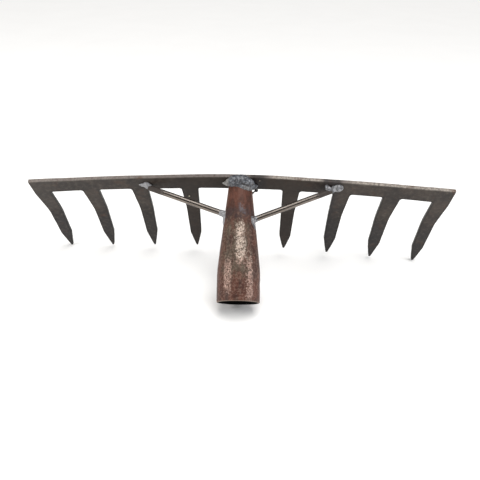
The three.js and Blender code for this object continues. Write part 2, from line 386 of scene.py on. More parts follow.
def bands(finish, value, first, second):
    return finish.math("ADD", band(finish, value, *first), band(finish, value, *second))


print("dark steel in linear numbers:", [round(part, 3) for part in tone(80, 75, 70)[:3]])

# %% [markdown]
# ## The floor
# A pale matt board. It is stage, not part of the object.

# %% Floor
FLOOR_SIZE = 6
FLOOR_DROP = 0.0005
bpy.ops.object.select_all(action="DESELECT")
bpy.ops.mesh.primitive_plane_add(size=FLOOR_SIZE, location=(0, 0, -FLOOR_DROP))
floor = bpy.context.object
floor.name = "floor"
board = Finish("pale_board")
board_place = board.add("TexCoord", "Object", {})
board_mottle = board.noise(board_place, 9.0, 3.0)
board_shade = board.mix(board_mottle, tone(247, 247, 246), tone(252, 252, 251))
floor.data.materials.append(board.skin_with(Base_Color=board_shade, Roughness=0.9))
print("floor", floor.dimensions.x, "metres across")

# %% [markdown]
# ## The toothed plate
# The real plate is punched from 3 mm strip, then pressed so that the lower teeth lean towards
# the handle. Nine teeth repeat at one pitch, so half a tooth is modelled once: a piece of the
# bar, whose lower edge is extruded down row by row and narrowed to the point. A second half
# carries the bar on to the middle of the gap, round the corner of the gullet. Mirrored and
# repeated they make the flat blank, on a grid fine enough to bend smoothly.

# %% The plate's dimensions
WIDTH = 365
PLATE = 3
TEETH = 9
PITCH = 43.7
BAR_HEIGHT = 13.4
GULLET_RADIUS = 2.6
BEND_AT = 43.6
BEND_LENGTH = 9
BEND = math.radians(13.9)
SHOULDER_AT = 72.7
TOOTH_LENGTH = 90.3
ROOT_AT = BAR_HEIGHT + GULLET_RADIUS
WIDTHS = {BAR_HEIGHT: 14, BEND_AT: 11.4, SHOULDER_AT: 9.7, TOOTH_LENGTH: 1.4}
OUTER_TOOTH = (TEETH - 1) // 2


def half_width(down):
    """Half of a tooth's width at a distance below the top edge."""
    stations = list(WIDTHS.items())
    for (above, wide), (below, narrow) in zip(stations, stations[1:]):
        if down <= below:
            share = (down - above) / (below - above)
            return (wide + (narrow - wide) * share) / 2
    return stations[-1][1] / 2


print("half a tooth is", round(half_width(ROOT_AT), 2), "mm wide at its root")

# %% Half a tooth
CELL = 1.15
NEAR = 0.01
root_half = half_width(ROOT_AT)
bpy.ops.object.select_all(action="DESELECT")
bpy.ops.mesh.primitive_grid_add(x_subdivisions=7, y_subdivisions=14, size=1)
bpy.context.object.location = (root_half / 2, -ROOT_AT / 2, 0)
half_tooth = written_in("half_tooth", (root_half, ROOT_AT, 1))

rows = math.ceil((TOOTH_LENGTH - ROOT_AT) / CELL)
edit(True)
down = ROOT_AT
for row in range(rows):
    below = ROOT_AT + (TOOTH_LENGTH - ROOT_AT) * (row + 1) / rows
    pick_parts(half_tooth, "edges", lambda co: co.y < -down + NEAR)
    bpy.ops.mesh.extrude_edges_move(TRANSFORM_OT_translate={"value": (0, down - below, 0)})
    narrower = half_width(below) / half_width(down)
    bpy.ops.transform.resize(value=(narrower, 1, 1), center_override=(0, -below, 0))
    down = below
edit(False)
print("half a tooth has", len(half_tooth.data.polygons), "faces in", rows, "rows")

# %% The half with the gullet
half_with_gullet = copy_of(half_tooth, "half_with_gullet")
edit(True)
reach = root_half
height = ROOT_AT
corner_steps = [math.radians(turn) for turn in (15, 30, 45, 60, 75, 90)]
columns = [
    (root_half + GULLET_RADIUS * (1 - math.cos(turn)), ROOT_AT - GULLET_RADIUS * math.sin(turn))
    for turn in corner_steps
]
run_start = root_half + GULLET_RADIUS
run = PITCH / 2 - run_start
run_steps = math.ceil(run / CELL)
columns += [(run_start + run * (step + 1) / run_steps, BAR_HEIGHT) for step in range(run_steps)]
for next_reach, next_height in columns:
    pick_parts(half_with_gullet, "edges", lambda co: co.x > reach - NEAR and co.y > -ROOT_AT - NEAR)
    bpy.ops.mesh.extrude_edges_move(
        TRANSFORM_OT_translate={"value": (next_reach - reach, 0, 0)})
    bpy.ops.transform.resize(value=(1, next_height / height, 1), center_override=(0, 0, 0))
    reach = next_reach
    height = next_height
edit(False)
print("the gullet's half reaches", round(reach, 2), "mm from the tooth's middle")

# %% Nine teeth in a row
halves = []
for tooth in range(-OUTER_TOOTH, OUTER_TOOTH + 1):
    for side in (-1, 1):
        is_end = tooth * side == OUTER_TOOTH
        half = copy_of(half_tooth if is_end else half_with_gullet, "half")
        half.location.x = tooth * PITCH
        half.scale.x = side
        bpy.ops.object.transform_apply(location=True, rotation=True, scale=True)
        halves.append(half)
plate = joined(halves, "toothed_plate_look")
bpy.data.objects.remove(half_tooth)
bpy.data.objects.remove(half_with_gullet)
open_whole(plate)
bpy.ops.mesh.remove_doubles(threshold=NEAR)
bpy.ops.mesh.normals_make_consistent(inside=False)
edit(False)
facing = sum(face.normal.z for face in plate.data.polygons)
print("the blank is", round(plate.dimensions.x, 1), "by", round(plate.dimensions.y, 1), "mm")
print("it faces the handle's side:", facing > 0)

# %% [markdown]
# The blank gets its thickness and the soft edges that a punch leaves, and doubles in the bevel's
# tightest corners are merged. A few facts are noted on each vertex while the plate is flat, as
# the finish follows them: where it lies, how near a sheared edge, and how worn the top edge is.

# %% Thickness and edges
EDGE_ROUNDING = 0.4
EDGE_SEGMENTS = 3
SHARP_FROM = math.radians(40)
finish_with(plate, "SOLIDIFY", thickness=PLATE, offset=-1)
finish_with(plate, "BEVEL", width=EDGE_ROUNDING, segments=EDGE_SEGMENTS, limit_method="ANGLE",
            angle_limit=SHARP_FROM, use_clamp_overlap=True)
open_whole(plate)
bpy.ops.mesh.remove_doubles(threshold=NEAR / 10)
edit(False)


def edge_distance(co):
    """How far a point of the flat plate is from the nearest edge of its outline below the bar."""
    down = -co.y
    tooth = clamped(round(co.x / PITCH), -OUTER_TOOTH, OUTER_TOOTH)
    off = abs(co.x - tooth * PITCH)
    from_side = half_width(max(down, ROOT_AT)) - off
    if down > ROOT_AT:
        return max(0, min(from_side, TOOTH_LENGTH - down))
    if from_side > 0 and down > BAR_HEIGHT - 1.5:
        return max(0, from_side)
    return max(0, BAR_HEIGHT - down) if from_side <= 0 else 9.0


note(plate, "laid", lambda co: co)
note(plate, "edge", lambda co: 1 - eased(edge_distance(co), 0.2, 1.5))
note(plate, "worn", lambda co: eased(co.y, -1.2, -0.3))
print("the plate has", len(plate.data.vertices), "vertices")

# %% [markdown]
# Now the plate is pressed to shape. The teeth bend over a die, the strip arches a little in its
# own plane, its ends curl towards the handle and it is slightly twisted, all left by welding.
# The tips are worn back by different amounts. A gentle unevenness keeps the faces from looking
# machined.

# %% Bending the plate
RISE = 0.6
MIDDLE_RISE = 1.3
END_RISE = 1.1
SAG = 1.0
FULLER = 0.30
FULLER_RIGHT = 0.15
SWELL = 0.10
RIPPLE = 0.05
RAGGED = 0.10
KNOCKED = 0.12
ARCH_RADIUS = 1616
BOW_RADIUS = 7630
TWIST = math.radians(-1.68) / 100
WORN_TIPS = [0.9, 0, 0, 0.9, 1, 1.6, 0.3, 0, 0.9]
DRAWN_IN = GULLET_RADIUS / ARCH_RADIUS
END_REACH = WIDTH / 2 * (1 + DRAWN_IN) - OUTER_TOOTH * PITCH


def on_plate(along, down, out):
    """A bench point for a place on the plate: along it, down from the top edge, out of its face."""
    start = BEND_AT - BEND_LENGTH / 2
    turned = BEND * clamped((down - start) / BEND_LENGTH)
    past = max(0, down - start - BEND_LENGTH)
    radius = BEND_LENGTH / BEND
    reach_down = min(down, start) + radius * math.sin(turned) + past * math.cos(turned)
    reach_out = radius * (1 - math.cos(turned)) + past * math.sin(turned)
    up = out * math.sin(turned) - reach_down
    forward = out * math.cos(turned) + reach_out
    twist = TWIST * along
    up, forward = (up * math.cos(twist) - forward * math.sin(twist),
                   up * math.sin(twist) + forward * math.cos(twist))
    curl = along / BOW_RADIUS
    reach = BOW_RADIUS - forward
    return Vector((
        reach * math.sin(curl),
        up - along ** 2 / (2 * ARCH_RADIUS),
        BOW_RADIUS - reach * math.cos(curl),
    ))


def stretched(x, off, down):
    """How the punch drew the blank: a fuller bar in the middle and at the ends, fuller teeth."""
    in_bar = eased(down, 0, BAR_HEIGHT)
    rise = RISE + MIDDLE_RISE * (1 - eased(abs(x), 15, 75))
    rise += END_RISE * eased(abs(x), 140, WIDTH / 2)
    sag = SAG * eased(abs(x), 38, 60) * in_bar * (1 - eased(down, ROOT_AT, ROOT_AT + 14))
    fuller = FULLER + FULLER_RIGHT * clamped(x / 100, -1, 1)
    fuller *= eased(abs(off), 0, 3) * (1 - eased(abs(off), root_half, PITCH / 2))
    fuller *= 1 - eased(x, OUTER_TOOTH * PITCH, OUTER_TOOTH * PITCH + 5)
    return fuller * math.copysign(1, off) * in_bar, sag - rise * (1 - in_bar)


def pressed(co):
    """Where a point of the flat blank ends up."""
    down = -co.y
    tooth = clamped(round(co.x / PITCH), -OUTER_TOOTH, OUTER_TOOTH)
    centre = tooth * PITCH
    off = co.x - centre
    if down < ROOT_AT and off * tooth > 0 and abs(tooth) == OUTER_TOOTH:
        off *= 1 + (END_REACH / root_half - 1) * (1 - down / ROOT_AT)
    closing = max(0, down - ROOT_AT) / ARCH_RADIUS
    along = centre * (1 - closing) + off - co.x * DRAWN_IN
    sideways, lower = stretched(co.x, co.x - centre, down)
    along += sideways
    worn = WORN_TIPS[int(tooth) + OUTER_TOOTH] / (TOOTH_LENGTH - SHOULDER_AT)
    down -= worn * max(0, down - SHOULDER_AT)
    swell = SWELL * noise.noise(Vector((co.x, co.y, 0)) * 0.045)
    swell += RIPPLE * noise.noise(Vector((co.x, co.y, 7)) * 0.16)
    ragged = RAGGED * noise.noise(Vector((co.x * 0.22, co.y * 0.22, co.z * 0.4 + 3)))
    rim = 1 - eased(edge_distance(co), 0, 1.2)
    along += ragged * rim
    down += KNOCKED * noise.noise(Vector((co.x * 0.12, 11, co.z * 0.3))) * eased(co.y, -2, 0)
    down += lower
    return on_plate(along, down, co.z + swell)


move_points(plate, pressed)
print("pressed, the plate is", [round(side, 1) for side in plate.dimensions], "mm")

# %% [markdown]
# ## Heat
# Welding leaves coloured rings on the steel beside each run: straw, brown, purple, then blue
# nearest the bead. Each vertex gets a number for how hot it became, from its distance to the
# runs. The runs themselves come later, but their places are already known.

# %% Where the steel was hot
ROD = 4.9
FOOT_GAP = 0.3
HEAT_SPREAD = 13
SOCKET_ROOT_RADIUS = 9.7
SOCKET_SHOULDER_RADIUS = 17.8
SOCKET_MOUTH_RADIUS = 17.6
CONE_LENGTH = 74.8
SOCKET_WALL = 2
TAPER = (SOCKET_SHOULDER_RADIUS - SOCKET_ROOT_RADIUS) / CONE_LENGTH
BRACES = {
    "left": {"side": -1, "along": -78.5, "down": 9.2, "socket_at": 26.1},
    "right": {"side": 1, "along": 77.6, "down": 7.6, "socket_at": 29.8},
}


def brace_line(brace):
    """The foot, the touching point on the socket, and the direction of a brace's middle line."""
    foot = on_plate(brace["along"], brace["down"], ROD / 2 + FOOT_GAP)
    touch = socket_start + socket_axis * brace["socket_at"]
    touch.x += brace["side"] * (SOCKET_ROOT_RADIUS + TAPER * brace["socket_at"])
    return foot, touch, (touch - foot).normalized()


hot_spots = []
for brace in BRACES.values():
    foot, touch, direction = brace_line(brace)
    hot_spots += [(foot - direction * 3, 5.0), (foot + direction * 6, 3.0), (touch, 5.0)]
for x in range(-12, 13, 4):
    hot_spots.append((Vector((x, -1 - 0.07 * x * x, 1)), 5.0))
hot_spots.append((Vector((0, -18, 1)), 5.0))


def heat(co):
    """1 under the runs, falling to 0 where the steel stayed cool."""
    return max(1 - eased((co - spot).length, reach, reach + HEAT_SPREAD)
               for spot, reach in hot_spots)


note(plate, "heat", heat)
print(len(hot_spots), "hot spots on the bench")

# %% [markdown]
# ## The plate's steel
# Hot-rolled strip: a dark brown-grey scale with faint drifts of rust, fine slanting scratches from
# handling, and pits. Below the teeth's bend it is painted darker and bluer as shade, and towards
# the middle it is darker and browner, partly heat browning and partly painted shade. A dark line
# along the sheared edges is painted shade. The top edge has been knocked about and shows paler
# bare metal, with painted glints of highlight along some stretches.

# %% Finish of the plate
def heat_tint(finish, colour, amount):
    """Lays the temper colours over a base colour."""
    straw = finish.mix(finish.between(amount, 0.02, 0.35), colour, tone(66, 47, 36))
    purple = finish.mix(finish.between(amount, 0.35, 0.7), straw, tone(44, 32, 29))
    return finish.mix(finish.between(amount, 0.75, 1.0), purple, tone(34, 31, 32))


steel = Finish("plate_steel")
laid = steel.noted("laid")
warm = steel.noted("heat", "Fac")
drift = steel.noise(laid, 0.035, 5.0, 0.6, 0.4)
base = steel.mix(steel.between(drift, 0.38, 0.62), tone(44, 39, 36), tone(62, 54, 48))
# Painted shade: the teeth are painted darker and bluer below their bend.
lower = steel.between(steel.part(laid, "Y"), -36.0, -58.0)
base = steel.over(base, lower, 0.8, (46, 45, 46))
mottle = steel.noise(laid, 0.30, 5.0, 0.75)
base = steel.over(base, steel.between(mottle, 0.50, 0.66, 0.0, 0.45), 1, (90, 82, 75))
base = steel.over(base, steel.between(mottle, 0.50, 0.34, 0.0, 0.55), 1, (30, 26, 24))
rust = steel.between(steel.noise(laid, 0.11, 6.0, 0.68, 0.6), 0.54, 0.70)
base = steel.over(base, rust, 0.42, (78, 54, 41))
scratch = steel.noise(steel.turned(laid, (0.28, 2.6, 1.0), (0, 0, 34)), 1.0, 3.0, 0.6)
base = steel.over(base, steel.between(scratch, 0.52, 0.74, 0.0, 0.5), 1, (96, 88, 81))
pits = steel.between(steel.noise(laid, 1.3, 3.0, 0.6), 0.58, 0.74)
base = steel.over(base, pits, 0.6, (22, 20, 19))
# Darker towards the middle: partly heat browning, partly painted shade from the socket and welds.
middle = steel.math("ABSOLUTE", steel.part(laid, "X"))
browned = steel.between(middle, 105.0, 30.0)
base = steel.over(base, browned, 0.65, (42, 32, 24))
base = heat_tint(steel, base, steel.times(warm, 0.9))
# Painted shade: a dark line along the sheared edges below the bar, where the rounded edges turn
# down.
edge = steel.noted("edge", "Fac")
base = steel.over(base, edge, 0.7, (20, 18, 17))
knocked = steel.between(steel.noise(laid, 0.4, 5.0, 0.7), 0.30, 0.56, 0.35, 1.0)
worn = steel.times(steel.noted("worn", "Fac"), knocked)
along = steel.part(laid, "X")
scorched = bands(steel, along, (8.0, 21.0, 4.0), (70.0, 85.0, 3.0))
worn = steel.times(worn, steel.between(scorched, 0.0, 1.0, 1.0, 0.12))
base = steel.over(base, scorched, 0.5, (34, 33, 37))
# Along stretches of the top edge the bare metal is brighter: partly polish, partly painted glints.
painted_glints = steel.between(steel.noise(laid, 0.5, 5.0, 0.75), 0.44, 0.56, 0.25, 1.0)
polish_and_glints = bands(steel, along, (26.0, 68.0, 4.0), (92.0, 190.0, 6.0))
polish_and_glints = steel.math("MAXIMUM", polish_and_glints, steel.between(along, -60.0, -110.0, 0.0, 0.3))
bright = steel.mix(steel.times(polish_and_glints, painted_glints), tone(112, 104, 100), tone(168, 160, 150))
bare_and_sheen = steel.mix(steel.times(rust, 0.8), bright, tone(92, 72, 60))
base = steel.mix(steel.times(worn, 0.85), base, bare_and_sheen)
rough = steel.between(steel.noise(laid, 0.6, 5.0, 0.7), 0.3, 0.7, 0.36, 0.56)
relief = steel.bump(steel.noise(laid, 0.9, 6.0, 0.7), 0.6, 0.12)
relief = steel.bump(scratch, 0.35, 0.06, relief)
plate.data.materials.clear()
plate.data.materials.append(steel.skin_with(
    Base_Color=base, Metallic=0.0, Specular_IOR_Level=0.22, Roughness=rough, Normal=relief))
carry_to_frame(plate)

# %% [markdown]
# ## The handle socket
# The socket is forged from sheet round a mandrel: a cone that opens from the plate, then a short
# parallel mouth. It is drawn out like a maker would draw it, ring by ring from one circle, and
# only then given its wall and rounded rim. It is slightly out of round and dented.

# %% The socket's rings
RUN_ON = 12
RING_STEP = 1.1
SHOULDER_SOFT = 3
AROUND_SOCKET = 120


def socket_radius(at):
    """The outer radius at a distance from the plate: a cone, a soft shoulder, a parallel mouth."""
    mouth_length = SOCKET_LENGTH - CONE_LENGTH
    drawn_in = SOCKET_MOUTH_RADIUS - SOCKET_SHOULDER_RADIUS
    if at < CONE_LENGTH - SHOULDER_SOFT:
        return SOCKET_ROOT_RADIUS + TAPER * at
    if at > CONE_LENGTH + SHOULDER_SOFT:
        return SOCKET_SHOULDER_RADIUS + drawn_in * ((at - CONE_LENGTH) / mouth_length)
    low = SOCKET_ROOT_RADIUS + TAPER * (CONE_LENGTH - SHOULDER_SOFT)
    high = SOCKET_SHOULDER_RADIUS + drawn_in * SHOULDER_SOFT / mouth_length
    share = (at - CONE_LENGTH + SHOULDER_SOFT) / (2 * SHOULDER_SOFT)
    return low + (high - low) * (1.6 * share - 0.6 * share * share)


bpy.ops.object.select_all(action="DESELECT")
bpy.ops.mesh.primitive_circle_add(vertices=AROUND_SOCKET, radius=SOCKET_MOUTH_RADIUS,
                                  location=(0, 0, SOCKET_LENGTH))
socket = written_in("handle_socket_look")
rings = math.ceil((SOCKET_LENGTH + RUN_ON) / RING_STEP)
edit(True)
at = SOCKET_LENGTH
for ring in range(rings):
    lower_at = SOCKET_LENGTH - (SOCKET_LENGTH + RUN_ON) * (ring + 1) / rings
    pick_parts(socket, "edges", lambda co: co.z < at + NEAR)
    bpy.ops.mesh.extrude_edges_move(TRANSFORM_OT_translate={"value": (0, 0, lower_at - at)})
    smaller = socket_radius(lower_at) / socket_radius(at)
    bpy.ops.transform.resize(value=(smaller, smaller, 1), center_override=(0, 0, lower_at))
    at = lower_at
bpy.ops.mesh.select_all(action="SELECT")
bpy.ops.mesh.normals_make_consistent(inside=False)
edit(False)
facing = sum(face.normal.xy.dot(face.center.xy) for face in socket.data.polygons)
print("the socket has", rings, "rings, and faces outwards:", facing > 0)

# %% [markdown]
# The single skin becomes a wall of 2 mm sheet, and its rim is rounded as filing leaves it. Then
# the surface is pushed in and out a little, as the hammer did, with one dent near the mouth.
# How hot the steel became is noted once the socket lies in its place on the bench.

# %% Its wall, its rim and its unevenness
RIM_ROUNDING = 0.5
DENT_PLACE = Vector((17.3, 2.0, 86))
DENT_DEPTH = 0.55
finish_with(socket, "SOLIDIFY", thickness=SOCKET_WALL, offset=-1)
finish_with(socket, "BEVEL", width=RIM_ROUNDING, segments=EDGE_SEGMENTS, limit_method="ANGLE",
            angle_limit=SMOOTH_UP_TO)


def beaten(co):
    """The socket's skin after the forge: low lumps, finer hammer marks and one small dent."""
    across = Vector((co.x, co.y, 0))
    if across.length < 0.1:
        return co
    outward = across.normalized()
    low = noise.noise(Vector((outward.x * 1.6, outward.y * 1.6, co.z * 0.045)))
    fine = noise.noise(Vector((outward.x * 4.2, outward.y * 4.2, co.z * 0.17 + 9)))
    finer = noise.noise(co * 0.42)
    dent = (co - DENT_PLACE).length
    push = 0.10 * low + 0.07 * fine + 0.045 * finer
    push -= DENT_DEPTH * (1 - eased(dent, 0.5, 4.5))
    return co + outward * push


note(socket, "laid", lambda co: co)
note(socket, "inside", lambda co: 1 - eased(
    Vector((co.x, co.y)).length - socket_radius(co.z) + SOCKET_WALL, 0.5, 1.3))
move_points(socket, beaten)
socket_turn = Vector((0, 0, 1)).rotation_difference(socket_axis).to_matrix().to_4x4()
socket.data.transform(Matrix.Translation(socket_start) @ socket_turn)
note(socket, "heat", heat)
print("the socket has", len(socket.data.vertices), "vertices")

# %% [markdown]
# The maker trims the cone at a slant so that it sits flat on the plate. Here the cone was drawn
# too long and is cut just clear of the plate's face. The two loops that the cut leaves are
# bridged, which closes the end of the wall.

# %% Cut flush with the plate
FLUSH = 0.3
cut(socket, (0, 0, FLUSH), (0, 0, 1), clear_inner=True)
edit(True)
found = pick_parts(socket, "edges", lambda co: co.z < FLUSH + NEAR / 10)
bpy.ops.mesh.bridge_edge_loops()
edit(False)
print("the cut root closed across", found, "edges")

# %% [markdown]
# The socket's steel came red-brown from the fire, streaked along its length where the scale
# flaked, and pitted all over, which breaks every reflection into a ragged patch.

# %% Finish of the socket
oxide = Finish("socket_steel")
laid = oxide.noted("laid")
ragged = oxide.noise(laid, 0.30, 5.0, 0.7)
true_turn = oxide.math("ARCTAN2", oxide.part(laid, "X"), oxide.part(laid, "Y"))
turn = oxide.math("ADD", true_turn, oxide.between(ragged, 0.3, 0.7, -0.10, 0.10))
at = oxide.math("ADD", oxide.part(laid, "Z"), oxide.between(ragged, 0.3, 0.7, -4.0, 4.0))
clouds = oxide.noise(oxide.turned(laid, (0.16, 0.16, 0.07)), 1.0, 6.0, 0.62, 0.6)
base = oxide.mix(oxide.between(clouds, 0.38, 0.62), tone(58, 35, 28), tone(88, 54, 43))
khaki_zone = oxide.times(band(oxide, turn, -0.95, 0.62, 0.20), band(oxide, at, 34.0, 80.0, 6.0))
streaks = oxide.noise(oxide.turned(laid, (0.25, 0.25, 0.08)), 1.0, 5.0, 0.65)
khaki = oxide.between(streaks, 0.34, 0.6)
base = oxide.over(base, khaki_zone, khaki, (80, 70, 58))
specks = oxide.between(oxide.noise(laid, 1.1, 4.0, 0.7), 0.52, 0.66)
base = oxide.over(base, specks, 0.5, (42, 27, 23))
ring = band(oxide, at, 23.0, 31.0, 2.5)
base = oxide.over(base, ring, 0.7, (50, 40, 40))
# A lighter bluish-grey patch near the root: partly heat tint, partly a painted highlight.
patch = oxide.times(band(oxide, turn, 0.02, 0.38, 0.10), band(oxide, at, 22.0, 27.5, 2.0))
base = oxide.over(base, patch, 0.55, (98, 96, 102))
base = heat_tint(oxide, base, oxide.times(oxide.noted("heat", "Fac"), 0.6))
print("the socket's skin is a graph of", len(oxide.tree.nodes), "nodes so far")

# %% [markdown]
# The lights' reflections are painted in as highlights: down the socket's front, and on two flanks
# near the mouth, the scale is lightened and carries pale cream flecks that run together in the
# middle; there the flecks are also more metallic and glossy. A fine crust lies over the rest,
# thinner near the hot root, and the bore is painted near-black as shade.

# %% Painted highlights on the socket, its crust, and painted shade in the bore
# Painted highlights: strips down the front and on two flanks near the mouth, where the lights
# reflect.
front = oxide.times(band(oxide, turn, -0.20, 0.40, 0.16), band(oxide, at, 34.0, 71.0, 6.0))
left = oxide.times(band(oxide, true_turn, -0.72, -0.30, 0.03), band(oxide, at, 64.0, 95.0, 6.0))
right = oxide.times(band(oxide, turn, 0.36, 0.74, 0.07), band(oxide, at, 60.0, 103.0, 6.0))
bare_and_sheen = oxide.math("MAXIMUM", front, oxide.times(oxide.math("MAXIMUM", left, right), 0.8))
grain = oxide.noise(laid, 0.85, 6.0, 0.78)
sill = oxide.between(bare_and_sheen, 0.0, 1.0, 0.62, 0.45)
sheen_flecks = oxide.times(bare_and_sheen, oxide.between(oxide.math("SUBTRACT", grain, sill), 0.0, 0.08))
# A lighter haze and pale cream flecks are painted there; the flecks are also more metallic and
# glossy.
base = oxide.over(base, bare_and_sheen, 0.35, (84, 68, 57))
highlight_cream = oxide.mix(oxide.between(at, 70.0, 60.0), tone(172, 144, 132), tone(176, 162, 150))
base = oxide.mix(oxide.times(sheen_flecks, 0.9), base, highlight_cream)
crusted = oxide.between(at, 26.0, 44.0, 0.25, 1.0)
crust = oxide.between(oxide.noise(laid, 0.6, 6.0, 0.72), 0.40, 0.60, -1.0, 1.0)
crust = oxide.times(crust, crusted)
base = oxide.over(base, oxide.math("MAXIMUM", crust, 0.0), 0.35, (124, 104, 92))
base = oxide.over(base, oxide.math("MINIMUM", crust, 0.0), -0.32, (30, 20, 17))
rim_line = oxide.between(oxide.part(laid, "Z"), 99.5, 100.0)
base = oxide.over(base, rim_line, 0.6, (134, 118, 104))
# Painted shade: the inside of the bore is painted near-black, and is also made rougher.
bore_shade = oxide.noted("inside", "Fac")
base = oxide.over(base, bore_shade, 1, (8, 7, 6))
gloss = oxide.between(sheen_flecks, 0.0, 1.0, 0.46, 0.34)
gloss = oxide.math("MAXIMUM", gloss, oxide.times(bore_shade, 0.8))
relief = oxide.bump(oxide.noise(laid, 0.35, 4.0, 0.6), 0.5, 0.20)
relief = oxide.bump(grain, 0.8, 0.20, relief)
socket.data.materials.append(oxide.skin_with(
    Base_Color=base, Metallic=oxide.times(sheen_flecks, 0.45), Specular_IOR_Level=0.16,
    Roughness=gloss, Normal=relief))
carry_to_frame(socket)

# %% [markdown]
# ## The braces
# Two lengths of round bar, sheared off square at the foot and cut at a slant where they meet the
# socket. Each starts as one cylinder, cut into rings so that it can be very slightly bent. The
# side that faces forward and a little down is noted, to carry a painted highlight where the bar
# would reflect the pale floor.

# %% A brace
AROUND_ROD = 40
ROD_RING_STEP = 1.5
RUN_IN = 3.0
SUNK = 0.9
FOOT_ROUNDING = 0.45
BENT = 0.05
sheen_side = bench_turn.inverted() @ Vector((0, -0.98, -0.2))


def make_brace(name, brace):
    foot, touch, direction = brace_line(brace)
    length = (touch - foot).length + RUN_IN
    bpy.ops.object.select_all(action="DESELECT")
    bpy.ops.mesh.primitive_cylinder_add(vertices=AROUND_ROD, radius=ROD / 2, depth=length,
                                        end_fill_type="NGON", location=(0, 0, length / 2))
    rod = written_in(f"brace_{name}_look")
    edit(True)
    pick_parts(rod, "faces", lambda co: co.z < NEAR)
    bpy.ops.mesh.bevel(offset=FOOT_ROUNDING, segments=EDGE_SEGMENTS, affect="EDGES")
    edit(False)
    for ring in range(1, math.floor(length / ROD_RING_STEP)):
        cut(rod, (0, 0, ring * ROD_RING_STEP), (0, 0, 1))
    note(rod, "laid", lambda co: co)
    move_points(rod, lambda co: co + Vector((
        BENT * noise.noise(Vector((co.z * 0.06, 1, 2))),
        BENT * noise.noise(Vector((co.z * 0.06, 5, 8))), 0)))
    turn = Vector((0, 0, 1)).rotation_difference(direction).to_matrix().to_4x4()
    rod.data.transform(Matrix.Translation(foot) @ turn)
    slant = Vector((brace["side"], 0, 0)) - socket_axis * TAPER
    slant = (slant - socket_axis * slant.dot(socket_axis) * 0.5).normalized()
    cut(rod, touch - slant * SUNK, slant, clear_inner=True, use_fill=True)
    note(rod, "heat", heat)
    note(rod, "foot", lambda co: 1 - eased((co - foot).length, 5, 21))
    note(rod, "rubbed", lambda co: clamped(sheen_side.dot(
        (co - foot) - direction * (co - foot).dot(direction)) / (ROD / 2)))
    print(rod.name, "is", round(length - RUN_IN, 1), "mm long")
    return rod


rods = [make_brace(name, brace) for name, brace in BRACES.items()]

# %% [markdown]
# Bright-drawn bar, dulled by handling: satin, with faint lines along it and brown stains. It is
# much darker near the foot, and bluish where the heat of the welds ran up it.

# %% Finish of the braces
satin = Finish("rod_steel")
laid = satin.noted("laid")
lines = satin.noise(satin.turned(laid, (2.2, 2.2, 0.07)), 1.0, 4.0, 0.6)
base = satin.mix(satin.between(lines, 0.35, 0.65), tone(76, 71, 67), tone(116, 109, 103))
# Painted highlight: a brighter streaky band where the bar would reflect the floor.
rubbed = satin.between(satin.noted("rubbed", "Fac"), 0.84, 0.97)
streaky = satin.between(lines, 0.3, 0.6, 0.5, 1.0)
base = satin.over(base, rubbed, streaky, (128, 118, 109))
stain = satin.between(satin.noise(satin.turned(laid, (0.4, 0.4, 0.12)), 1.0, 5.0, 0.7), 0.54, 0.7)
base = satin.over(base, stain, 0.7, (62, 44, 34))
# Much darker near the foot, and duller and less metallic there.
darkened = satin.between(satin.math("ADD", satin.noted("foot", "Fac"), satin.noise(laid, 0.5, 4.0)),
                      0.7, 1.15)
base = satin.over(base, darkened, 0.85, (38, 29, 24))
bluing = satin.between(satin.noted("heat", "Fac"), 0.1, 0.8)
base = satin.over(base, bluing, 0.6, (66, 68, 78))
gloss = satin.between(satin.noise(laid, 0.9, 4.0, 0.7), 0.3, 0.7, 0.16, 0.32)
gloss = satin.math("MAXIMUM", gloss, satin.times(darkened, 0.7))
relief = satin.bump(lines, 0.25, 0.04)
relief = satin.bump(satin.noise(laid, 1.4, 4.0, 0.7), 0.2, 0.05, relief)
metal = satin.between(darkened, 0.0, 1.0, 0.85, 0.2)
rod_steel = satin.skin_with(Base_Color=base, Metallic=metal, Roughness=gloss, Normal=relief)
for rod in rods:
    rod.data.materials.append(rod_steel)
    carry_to_frame(rod)

# %% [markdown]
# ## The weld runs
# A stick weld is a row of small puddles, each frozen half over the one before, which leaves the
# ripples. So a run is modelled as it is laid: squashed balls along a path, one every millimetre
# or so, a little different each time. A voxel remesh melts them into one skin, and a smooth
# pass rounds the creases. The underside stays sunk in the steel it joins.

# %% Laying a run
PUDDLE_STEP = 1.25
VOXEL = 0.28
FINE_VOXEL = 0.16


def dense(path, step=PUDDLE_STEP):
    """Puddles every step along a coarse path of (x, y, z, radius)."""
    puddles = []
    for start, end in zip(path, path[1:]):
        gap = (Vector(end[:3]) - Vector(start[:3])).length
        count = max(1, round(gap / step))
        for k in range(count):
            share = k / count
            puddles.append([a + (b - a) * share for a, b in zip(start, end)])
    return puddles + [list(path[-1])]


def ball(place, radius, height=1.0):
    """One puddle of metal, squashed to a share of its height."""
    bpy.ops.object.select_all(action="DESELECT")
    bpy.ops.mesh.primitive_ico_sphere_add(subdivisions=3, radius=radius, location=place)
    return written_in("puddle", (1, 1, height))


def melted(run, voxel, smooth):
    """Melts overlapping balls into one skin and rounds the creases between them."""
    finish_with(run, "REMESH", mode="VOXEL", voxel_size=voxel, adaptivity=0)
    finish_with(run, "SMOOTH", factor=0.5, iterations=smooth)
    note(run, "laid", lambda co: co)
    return run


def lay_run(name, puddles, height=1.0, smooth=4):
    """A run of squashed balls, one for each puddle (x, y, z, radius)."""
    balls = []
    for k, (x, y, z, radius) in enumerate(puddles):
        uneven = 1 + 0.03 * math.sin(k * 2.4) + 0.02 * math.sin(k * 5.1 + 1)
        balls.append(ball((x, y, z), radius * uneven, height))
    return melted(joined(balls, name), VOXEL, smooth)


